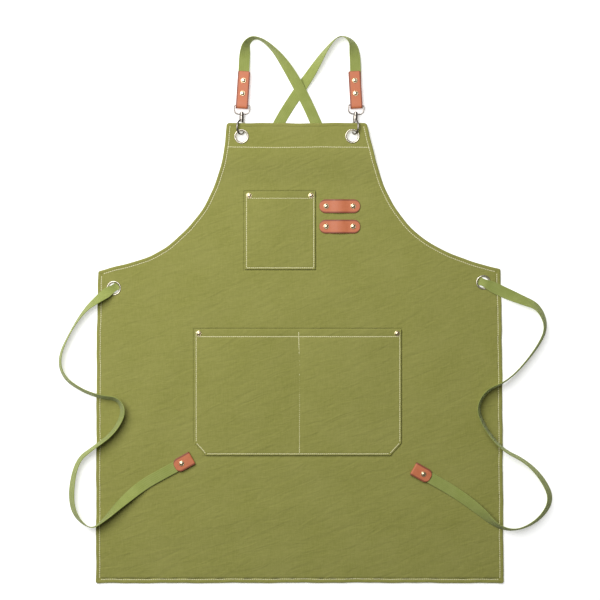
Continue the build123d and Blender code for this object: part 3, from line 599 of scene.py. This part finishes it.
# Lines run clockwise, so the cloth is on their right. Their points are 1 mm apart.
edges = {
    "left_side": resampled(side_line["left"], 1.0),
    "left_armhole": rounded(armhole_line["left"], 1.0),
    "bib_edge": resampled([(-123.5, bib_top_y), (0, bib_top_y - 0.6), (117.0, bib_top_y)], 1.0),
    "right_armhole": rounded(armhole_line["right"][::-1], 1.0),
    "right_side": resampled(side_line["right"][::-1], 1.0),
    "bottom": resampled([(353.0, hem_y), (120, hem_y + 0.8), (-349.0, hem_y)], 1.0),
}
edges = {name: uneven(line) for name, line in edges.items()}
# Radius of the corner at the start and the end of each line.
corner_radii = {
    "left_side": (3.0, 2.5), "left_armhole": (2.5, 4.5), "bib_edge": (4.5, 4.5),
    "right_armhole": (4.5, 2.5), "right_side": (2.5, 3.0), "bottom": (3.0, 3.0),
}
# Distance in from the edge and height above the cloth, from the edge over the top and back below.
hem_section = np.array([
    (0.0, -1.55), (0.12, -0.8), (0.5, -0.15), (1.3, 0.3), (2.8, 0.46), (4.6, 0.36), (5.7, -0.05),
    (6.4, -0.5), (7.0, -0.3), (7.9, -0.1), (8.9, -0.5), (8.9, -1.0), (7.3, -1.3), (7.2, -2.6),
    (6.2, -3.0), (3.4, -3.1), (1.0, -2.95), (0.2, -2.4),
])
stitch_pitch = 3.7
stitch_in = 6.5
stitch_pull = 0.10
hem_waves = 0.24
band_step_up = 0.04
floor_gap = 0.03


def hem_band(name, line, lift):
    """The folded hem: its section carried along the edge, drawn down a little at every stitch.

    Near a corner of radius r the section starts r - sqrt(r^2 - (r - distance)^2) further in, and
    the slow waves, the product of two sines of the distance along, fade out.
    """
    whole = np.arange(len(line)) * 1.0
    run = ends_fine(0.0, whole[-1], 0.55, 1.0)
    line = np.stack([np.interp(run, whole, line[:, i]) for i in (0, 1)], axis=-1)
    inward = inset(line, 1.0) - line
    section = np.broadcast_to(hem_section, (len(line),) + hem_section.shape).copy()
    pull = stitch_pull * np.cos(2 * np.pi * run / stitch_pitch)[:, None]
    near = np.exp(-(((section[..., 0] - stitch_in) / 1.6) ** 2)) * (section[..., 1] > -0.5)
    slow = hem_waves * np.sin(run / 5.1) * np.sin(run / 17.0 + 1.0)
    slow *= smoothstep(np.minimum(run, run[-1] - run) / 12.0)
    section[..., 1] += pull * near + slow[:, None] * (section[..., 1] > -1.6) + lift
    starts = np.zeros(len(run))
    for radius, distance in zip(corner_radii[name.removesuffix("_hem")], (run, run[-1] - run)):
        short = radius - np.minimum(distance, radius)
        starts = np.maximum(starts, radius - np.sqrt(radius**2 - short**2))
    section[..., 0] += starts[:, None] * (1 - section[..., 0] / hem_section[:, 0].max())
    flat = line[:, None] + inward[:, None] * section[..., :1]
    height = np.maximum(cloth_height(flat[..., 0], flat[..., 1]) + section[..., 1], floor_gap)
    points = np.concatenate([flat, height[..., None]], axis=-1)
    return put(name, points.reshape(-1, 3), tube_faces(*height.shape), canvas)


# Each band is a little higher than the one before, so that they lie on one another at corners.
hems = [
    hem_band(f"{name}_hem", line, band_step_up * k) for k, (name, line) in enumerate(edges.items())
]


def panel_limits(y, distance):
    """Left and right ends of the cloth at each height, drawn in from its edges."""
    limits = []
    for side, ahead in (("left", 1), ("right", -1)):
        edge = inset(edges[f"{side}_side"], distance)[::ahead]
        hole = inset(edges[f"{side}_armhole"], distance)[::ahead]
        x_edge = np.interp(y, edge[:, 1], edge[:, 0])
        order = np.argsort(hole[:, 1])
        x_hole = np.interp(y, hole[order, 1], hole[order, 0], left=-ahead * 900.0)
        limits.append(np.maximum(x_edge, x_hole) if side == "left" else np.minimum(x_edge, x_hole))
    return limits


def open_holes(points, faces, holes, drop=6.0, rim=10.2, reach=19.0):
    """Drops the faces over each hole, spreads the points round it, and ends them on a circle.

    A point between the dropped ones and the reach moves out in proportion, so no face turns over.
    """
    keep = np.ones(len(faces), dtype=bool)
    for x, y in holes:
        off = points[:, :2] - (x, y)
        far = np.maximum(np.linalg.norm(off, axis=1), 1e-6)
        over = (far[faces] < drop).any(axis=1)
        moved = (far >= drop) & (far < reach)
        new_far = np.where(moved, rim + (far - drop) * (reach - rim) / (reach - drop), far)
        corners = np.unique(faces[over])
        corners = corners[far[corners] >= drop]
        new_far[corners] = rim
        points[:, :2] = (x, y) + off / far[:, None] * new_far[:, None]
        keep &= ~over
    faces = faces[keep]
    used, faces = np.unique(faces, return_inverse=True)
    return points[used], faces.reshape(-1, 4)


def thicken(piece, thickness):
    """Gives a cloth surface its thickness, behind its front."""
    wall = piece.modifiers.new("thickness", "SOLIDIFY")
    wall.thickness = thickness * MM
    wall.offset = -1.0
    wall.use_even_offset = True


def cloth_piece(name, rows, across, behind, holes, thickness, node):
    """A cloth surface on these rows and columns, some way behind the front, open at its holes."""
    down = np.broadcast_to(rows[:, None], across.shape)
    height = cloth_height(across, down) - behind
    surface = np.stack([across, down, height], axis=-1).reshape(-1, 3)
    surface, faces = open_holes(surface, grid_faces(*across.shape), holes)
    piece = put(name, surface, faces, canvas)
    thicken(piece, thickness)
    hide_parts(node)
    return piece


# Lines of the grid are close together this near to a pocket's edge.
seam_reach = 4.5
# The cloth ends this far inside its edges, over the inner side of the hems.
under_hem = 7.8
under_bib_hem = 7.2


def step_at(y):
    """Distance to the next row: short by a pocket's ends, middling by eyelets and corners."""
    ends = [end for pocket in pockets.values() for end in pocket["box"][2:]]
    if min(abs(y - end) for end in ends) < seam_reach:
        return 0.75
    if 83.0 < y < 134.0 or 316.0 < y < 341.0:
        return 1.7
    return 2.6 if 54.0 < y < 90.0 else 4.5


rows = [hem_y + under_hem]
while rows[-1] + step_at(rows[-1]) < bib_top_y - under_bib_hem:
    rows.append(rows[-1] + step_at(rows[-1]))
rows = np.array([*rows, bib_top_y - under_bib_hem])
left_end, right_end = panel_limits(rows, under_hem)
# Columns gather by the sides of the lower pocket, and higher up by the chest pocket's.
upper = smoothstep((rows - 8.0) / 84.0)
lower_box, chest_box = pockets["lower"]["box"], pockets["chest"]["box"]
by_left = lower_box[0] * (1 - upper) + chest_box[0] * upper
by_right = lower_box[1] * (1 - upper) + chest_box[1] * upper
knots = np.stack([
    left_end, by_left - seam_reach, by_left + seam_reach,
    by_right - seam_reach, by_right + seam_reach, right_end,
], axis=1)
outer = np.linspace(0, 1, 48, endpoint=False) ** 1.3
band = np.linspace(0, 1, 12, endpoint=False)
inner = np.linspace(0, 1, 50, endpoint=False)
at = np.concatenate([outer, 1 + band, 2 + inner, 3 + band, [4.0], (5 - outer)[::-1]])
knot = np.minimum(at.astype(int), 4)
across = knots[:, knot] + (knots[:, knot + 1] - knots[:, knot]) * (at - knot)
all_eyelets = eyelets_at["bib"] + eyelets_at["side"]
panel = cloth_piece("apron_cloth", rows, across, 0.0, all_eyelets, canvas_thickness, "apron_panel")

# The bib's top is turned to the back and sewn down as a deep facing.
rows = np.linspace(306.0, bib_top_y - 4.0, 15)
left_end, right_end = panel_limits(rows, 8.5)
across = left_end[:, None] + (right_end - left_end)[:, None] * np.linspace(0, 1, 76)
facing = cloth_piece("bib_facing_cloth", rows, across, 1.0, eyelets_at["bib"], 0.8, "bib_facing")


# ---------------------------------------------------------------- pockets
pocket_thickness = 0.5
pocket_rise = 2.1
edge_radius = 0.8
hem_rise = 0.45
seam_depth = 0.75
mouth_wave = 0.45
mouth_reach = 8.0
# How far each row of the mouth's fold lies inside the mouth's edge, and how far below it.
mouth_fold = ((-0.35, 0.35), (-0.5, 0.9), (-0.3, 1.5), (0.4, 1.9))


def steps_between(low, high, step):
    """Positions from low to high, close together by both ends for the rounded edges."""
    ease = np.array([0.0, 0.15, 0.45, 0.9, 1.6, 2.4, 2.9, 3.5, 4.5, 6.5])
    middle = np.linspace(low + 9.0, high - 9.0, max(2, int((high - low - 18) / step)))
    return np.concatenate([low + ease, middle, high - ease[::-1]])


def pocket_height(pocket, x, y, left, right):
    """Front of a pocket: a rolled edge, a sewn groove, and a crown that opens towards its mouth."""
    _, _, bottom, top = pocket["box"]
    in_from = np.minimum(np.minimum(x - left, right - x), y - bottom)
    short = 1 - np.clip(in_from, 0, edge_radius) / edge_radius
    edge = np.sqrt(np.clip(1 - short**2, 0, 1))
    groove = np.exp(-(((in_from - pocket_stitch_in) / 0.9) ** 2))
    hem_line = top - pocket["hem"]
    hem = hem_rise * smoothstep((y - hem_line - 0.4) / 1.4)
    groove = np.maximum(groove, 0.8 * np.exp(-(((y - hem_line) / 1.0) ** 2)))
    seams = [left + 12.0, *[np.full_like(left, d) for d in pocket["dividers"]], right - 12.0]
    arch = np.zeros_like(x)
    for near, far in zip(seams, seams[1:]):
        inside = np.clip((x - near) / (far - near), 0, 1)
        arch = np.maximum(arch, np.sin(np.pi * inside) ** 0.8)
    for divider in pocket["dividers"]:
        groove = np.maximum(groove, np.exp(-(((x - divider) / 1.1) ** 2)))
    mouth = np.clip((y - bottom) / (top - bottom), 0, 1)
    crown = pocket["gape"] * arch * mouth**1.4 + 0.5 * arch * np.sin(np.pi * mouth)
    return pocket_rise * edge - seam_depth * groove * edge + hem + crown


def pocket_surface(name):
    """A pocket's grid, with the fold of its mouth turned down behind the last row."""
    pocket = pockets[name]
    _, _, bottom, top = pocket["box"]
    down = steps_between(bottom, top, 3.2)
    left, right = pocket_ends(pocket, down)
    # Columns gather by both sides, where the edge is rounded.
    share = steps_between(0.0, 200.0 if name == "lower" else 110.0, 2.0)
    share = share / share[-1]
    x = left[:, None] + (right - left)[:, None] * share
    near_mouth = np.clip((down[:, None] - top + mouth_reach) / mouth_reach, 0, 1)
    y = down[:, None] + mouth_wave * np.sin(x / 17.0) * near_mouth
    height = pocket_height(pocket, x, y, left[:, None], right[:, None])
    grid = np.stack([x, y, cloth_height(x, y) + height], axis=-1)
    fold = []
    for back, drop in mouth_fold:
        row = grid[-1].copy()
        row[:, 1] -= back
        row[:, 2] -= np.minimum(drop, np.maximum(height[-1] - 0.15, 0))
        fold.append(row)
    grid = np.concatenate([grid, np.array(fold)])
    points, faces = grid.reshape(-1, 3), grid_faces(*grid.shape[:2])
    piece = put(f"{name}_pocket_cloth", points, faces, canvas)
    thicken(piece, pocket_thickness)
    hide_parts(f"{name}_pocket")
    return piece


def on_pocket(name, x, y):
    """Height of a pocket's front at some points."""
    left, right = pocket_ends(pockets[name], y)
    return cloth_height(x, y) + pocket_height(pockets[name], x, y, left, right)


pocket_pieces = {name: pocket_surface(name) for name in pockets}

# ---------------------------------------------------------------- stitches
# Each ring of a stitch is a distance along it and a share of full size.
stitch_rings = [(-1.65, 0.35), (-1.3, 0.8), (-0.55, 1.0), (0.55, 1.0), (1.3, 0.8), (1.65, 0.35)]
stitch_half_width = 0.8
stitch_half_height = 0.55
ring_points = 6
turn = np.linspace(0, 2 * np.pi, ring_points, endpoint=False)
stitch_points = np.array([
    (x, stitch_half_width * size * np.cos(a), stitch_half_height * size * np.sin(a))
    for x, size in stitch_rings
    for a in turn
])
stitch_faces = [face[::-1] for face in tube_faces(len(stitch_rings), ring_points)]
stitch_up = 0.16
look_ahead = 1.3
turn_spread = 0.035
place_spread = 0.10


def stitches(name, lines, height, node, pitch=stitch_pitch):
    """Short rounded stitches at equal steps along each line, each turned along it."""
    origins, turns = [], []
    for line in lines:
        at = resampled(line, pitch)[1:-1]
        along = tangents(at)
        angle = np.arctan2(along[:, 1], along[:, 0]) + chance.normal(0, turn_spread, len(at))
        at = at + chance.normal(0, place_spread, at.shape)
        top = height(*at.T)
        ahead = height(*(at + look_ahead * along).T)
        pitch_angle = np.arctan2(ahead - top, look_ahead)
        c, s = np.cos(angle), np.sin(angle)
        cp, sp = np.cos(pitch_angle), np.sin(pitch_angle)
        turn_to = np.zeros((len(at), 3, 3))
        turn_to[:, :, 0] = np.stack([c * cp, s * cp, sp], axis=-1)
        turn_to[:, :, 1] = np.stack([-s, c, np.zeros_like(c)], axis=-1)
        turn_to[:, :, 2] = np.stack([-c * sp, -s * sp, cp], axis=-1)
        origins.append(np.column_stack([at, top + stitch_up]))
        turns.append(turn_to)
    origins, turns = np.concatenate(origins), np.concatenate(turns)
    points, faces = copies(stitch_points, stitch_faces, origins, turns)
    piece = put(name, points, faces, thread)
    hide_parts(node)
    return piece


# Millimetres left off at the start and the end of each sewn edge.
left_off = {
    "left_side": (7, 6), "left_armhole": (6, 3), "right_armhole": (3, 6), "right_side": (6, 7),
    "bottom": (7, 7),
}
hem_lines = [
    inset(edges[name], stitch_in)[start:-end] for name, (start, end) in left_off.items()
]
hem_stitches = stitches(
    "hem_stitches", hem_lines, lambda x, y: cloth_height(x, y) - 0.02, "hem_stitching"
)
facing_stitches = stitches(
    "facing_stitches", [np.array([(-127.0, 310.5), (-40.0, 309.2), (40.0, 310.4), (124.0, 309.6)])],
    lambda x, y: cloth_height(x, y) - 0.05, "facing_stitching",
)


def pocket_stitches(name):
    """Stitches round a pocket's sewn edges, along its mouth's hem and down its dividers."""
    pocket = pockets[name]
    left, right, bottom, top = pocket["box"]
    across, up = pocket["cut"]
    gap = pocket_stitch_in
    lean = gap * 0.4
    around = [
        (left + gap, top - 1.5), (left + gap, bottom + up + lean),
        (left + across + lean, bottom + gap), (right - across - lean, bottom + gap),
        (right - gap, bottom + up + lean), (right - gap, top - 3.0),
    ]
    hem_line = top - pocket["hem"]
    lines = [around[:2], around[1:3], around[2:4], around[3:5], around[4:6]]
    lines.append([(left + gap, hem_line), (right - gap, hem_line)])
    for divider in pocket["dividers"]:
        lines.append([(divider - 1.5, top - 3.0), (divider, top - 60), (divider, bottom + gap)])
    lines = [line for line in lines if np.hypot(*np.subtract(line[0], line[-1])) > 8]
    return stitches(
        f"{name}_pocket_stitches", lines, lambda x, y: on_pocket(name, x, y) + 0.02,
        f"{name}_pocket_stitching", pitch=3.4,
    )


pocket_stitch_pieces = {name: pocket_stitches(name) for name in pockets}


# ---------------------------------------------------------------- leather
raw_edge = 0.9


def leather_strip(name, path, side, half_width, thickness, node):
    """A strip of leather carried along a line, its width given at each point of the line."""
    run = distances(path)
    across = np.broadcast_to(side, path.shape)
    up = np.cross(across, tangents(path))
    unit = flat_section(36, 0.28)
    half = half_width(run, run[-1])
    points, faces = swept(path, across, up, sized(unit, half, thickness))
    to_side = half[:, None] * (1 - abs(unit[:, 0]))
    to_end = np.minimum(run, run[-1] - run)[:, None]
    rim = np.zeros((len(path), len(unit), 3))
    on_face = abs(unit[:, 1]) > 0.98
    rim[..., 0] = np.clip(1.0 - np.minimum(to_side, to_end) / raw_edge, 0, 1)
    rim[..., 0] = np.maximum(rim[..., 0], np.where(on_face, 0.0, 1.0))
    piece = put(name, points, faces, leather, {"rim": rim.reshape(-1, 3)})
    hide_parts(node)
    return piece


def round_ends(radius, width):
    """Half width of a strip with ends rounded to a radius: the sides close in as a circle does."""

    def half_width(run, length):
        half = np.full(len(run), width / 2)
        for distance in (run, length - run):
            into = np.clip(distance, 0.02, radius)
            half = np.minimum(half, width / 2 - radius + np.sqrt(radius**2 - (radius - into) ** 2))
        return half

    return half_width


# The leather loops lie on the cloth at their ends and rise a little between their rivets.
loop_middle_x = 70.7
loop_at = {"upper": 209.0, "lower": 174.0}
loop_half_length = 35.0
loop_outline = round_ends(10.8, 23.7)
loop_arch = 1.7
loop_middle_up = 1.05
for name, y in loop_at.items():
    x = ends_fine(-loop_half_length, loop_half_length, 1.0, 1.6)
    rise = loop_arch * smoothstep((18.5 - abs(x)) / 17.0)
    middle_z = cloth_height(loop_middle_x + x, y) + loop_middle_up + rise
    line = np.column_stack([loop_middle_x + x, np.full_like(x, y), middle_z])
    leather_strip(f"{name}_leather_loop", line, (0, -1, 0), loop_outline, 2.0, f"{name}_loop")

# Middle of each clip's bar, how far its tab leans in degrees, and the fold of each tie's end
# with the direction the tie points in.
clip_z = 7.0
end_tab_z = 6.25
clip_bar_at = {"left": (-97.4, 382.0), "right": (99.3, 382.0)}
tab_lean = {"left": -3.7, "right": 3.4}
end_tab_at = {"left": (-183.0, -223.5, 29.0), "right": (197.0, -241.7, 150.6)}


def turned_axes(degrees):
    """The X and Y directions turned about Z."""
    turn = np.radians(degrees)
    return np.array([np.cos(turn), np.sin(turn), 0]), np.array([-np.sin(turn), np.cos(turn), 0])


def folded_line(corners, step, origin, ahead):
    """A leather strip's line: up one face through its corners, and back down mirrored.

    Each corner is a distance ahead of the origin and a height above it.
    """
    half_line = rounded(corners, step)
    whole = np.concatenate([half_line, half_line[-2::-1] * (1, -1)])
    return np.array(origin) + whole[:, :1] * ahead + whole[:, 1:] * (0, 0, 1.0)


tab_corners = [
    (59, 1.68), (40, 1.68), (13, 1.68), (7, 2.1), (2.5, 2.42), (-1.5, 2.5), (-3.6, 2.0), (-4.75, 0),
]
tab_outline = round_ends(2.2, 21.0)
for side, (bar_x, bar_y) in clip_bar_at.items():
    right, upward = turned_axes(tab_lean[side])
    line = folded_line(tab_corners, 0.8, (bar_x, bar_y, clip_z), upward)
    leather_strip(f"{side}_leather_tab", line, -right, tab_outline, 1.75, f"{side}_strap_tab")

end_corners = [(-34, 1.5), (-20, 1.5), (-6, 1.5), (-2.2, 1.55), (-0.75, 1.1), (-0.72, 0)]
end_outline = round_ends(9.5, 24.0)
for side, (fold_x, fold_y, turn) in end_tab_at.items():
    ahead, left = turned_axes(turn)
    line = folded_line(end_corners, 0.7, (fold_x, fold_y, end_tab_z), ahead)
    leather_strip(
        f"{side}_leather_end", line, -left, end_outline, 1.45, f"{side}_end_tab"
    )


# ---------------------------------------------------------------- rivets and eyelets
def rivet_profile(post):
    """Half section of a capped rivet: its post, a flat rolled rim and a domed cap."""
    return [
        (1.2, -post), (1.5, -post + 0.2), (1.5, 0.0), (4.2, 0.02), (4.5, 0.2), (4.5, 0.5),
        (4.25, 0.72), (3.75, 0.74), (3.5, 0.66), (3.38, 0.85), (3.2, 1.25), (2.75, 1.65),
        (2.0, 1.98), (1.1, 2.15), (0.35, 2.2),
    ]


def rivets(name, places, post, node):
    """Capped rivets at some places, each x, y and the height its rim sits on."""
    points, faces = copies(*lathed(rivet_profile(post)), places)
    piece = put(name, points, faces, brass)
    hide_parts(node)
    return piece


rivet_from_side = 7.5
rivet_from_mouth = 6.8
pocket_places = []
for name, pocket in pockets.items():
    left, right, _, top = pocket["box"]
    y = top - rivet_from_mouth
    for x in (left + rivet_from_side, right - rivet_from_side):
        pocket_places.append((x, y, float(on_pocket(name, np.array([x]), np.array([y]))[0])))
rivets("pocket_cap_rivets", pocket_places, post=2.7, node="pocket_rivets")
loop_rivet_off = 23.15
loop_top = 2.05
loop_places = [
    (x, y, float(cloth_height(x, y)) + loop_top)
    for y in loop_at.values()
    for x in (loop_middle_x - loop_rivet_off, loop_middle_x + loop_rivet_off)
]
rivets("loop_cap_rivets", loop_places, post=3.0, node="loop_rivets")
tab_top = 2.52
tab_places = []
for side, (bar_x, bar_y) in clip_bar_at.items():
    _, upward = turned_axes(tab_lean[side])
    for up in (20.5, 42.7):
        tab_places.append((bar_x + up * upward[0], bar_y + up * upward[1], clip_z + tab_top))
rivets("tab_cap_rivets", tab_places, post=5.0, node="strap_tab_rivets")
end_rivet_from_fold = 20.5
end_top_z = 8.45
for side, (fold_x, fold_y, turn) in end_tab_at.items():
    ahead, _ = turned_axes(turn)
    from_fold = end_rivet_from_fold * ahead
    place = (fold_x - from_fold[0], fold_y - from_fold[1], end_top_z)
    rivet = rivets(f"{side}_end_cap_rivet", [place], post=4.4, node=f"{side}_end_rivet")


def eyelet_profile(depth):
    """Closed half section of a rolled eyelet: a round flange and a barrel down through."""
    return [
        (12.35, 0.0), (12.55, 0.3), (12.4, 0.75), (11.95, 1.12), (11.3, 1.28), (10.6, 1.12),
        (10.0, 0.6), (9.5, -0.2), (9.05, -1.2), (8.9, -depth + 0.4), (9.1, -depth), (9.4, -depth),
        (9.5, -depth + 0.4), (9.5, -0.6), (9.7, -0.1),
    ]


for place in ("bib", "side"):
    node = f"{place}_eyelets"
    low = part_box(node)[0][2] / MM
    places = [(x, y, float(cloth_height(x, y)) + 0.02) for x, y in eyelets_at[place]]
    depth = min(p[2] for p in places) - low
    ring = lathed(eyelet_profile(depth), segments=56, closed=True)
    points, faces = copies(*ring, places)
    piece = put(f"{place}_rolled_eyelets", points, faces, bright)
    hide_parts(node)

# ---------------------------------------------------------------- the CAD's own metal pieces
for name, node in nodes.items():
    finish = None
    if name.endswith(("rivet_back", "rivet_backs")):
        finish = brass
    elif name.endswith("washers"):
        finish = bright
    elif name.endswith("gate_spring"):
        finish = spring_steel
    elif name.endswith(("d_loop", "swivel_post", "hook_body", "gate", "gate_pin")):
        finish = nickel
    if finish is not None:
        node.data.materials.clear()
        node.data.materials.append(finish)

# ---------------------------------------------------------------- floor, light and view
floor_material, _, _ = new_material("matt_white_board", {
    "Base Color": colour("#F4F4F4"), "Roughness": 0.9,
    "Emission Color": (1.0, 1.0, 1.0, 1.0), "Emission Strength": 0.35,
})
floor_mesh = bpy.data.meshes.new("floor")
floor_half = 6.0
corners = [(x * floor_half, y * floor_half, 0) for x, y in ((-1, -1), (1, -1), (1, 1), (-1, 1))]
floor_mesh.from_pydata(corners, [], [(0, 1, 2, 3)])
floor_mesh.materials.append(floor_material)
floor = bpy.data.objects.new("floor", floor_mesh)
bpy.context.scene.collection.objects.link(floor)

world = bpy.data.worlds.new("soft_room")
world.use_nodes = True
tree = world.node_tree
ray = add(tree, "ShaderNodeTexCoord").outputs["Generated"]
lift = add(tree, "ShaderNodeSeparateXYZ", {0: ray}).outputs[2]
# The room is dim by the horizon and bright overhead, and even between.
horizon, overhead = 0.60, 2.25
sky = add(tree, "ShaderNodeMapRange", {0: lift, 1: 0.05, 2: 0.75, 3: horizon, 4: overhead})
tree.links.new(sky.outputs[0], tree.nodes["Background"].inputs[1])
bpy.context.scene.world = world


def softbox(name, location, size, power):
    """A square light that faces the apron."""
    data = bpy.data.lights.new(name, "AREA")
    data.size = size
    data.energy = power
    lamp = bpy.data.objects.new(name, data)
    lamp.location = location
    lamp.rotation_mode = "QUATERNION"
    lamp.rotation_quaternion = (-Vector(location)).to_track_quat("-Z", "Y")
    bpy.context.scene.collection.objects.link(lamp)


softbox("key", location=(-0.85, 0.95, 1.95), size=1.9, power=52.0)
bpy.context.scene.view_settings.view_transform = "Standard"
bpy.context.scene.view_settings.exposure = 0.36
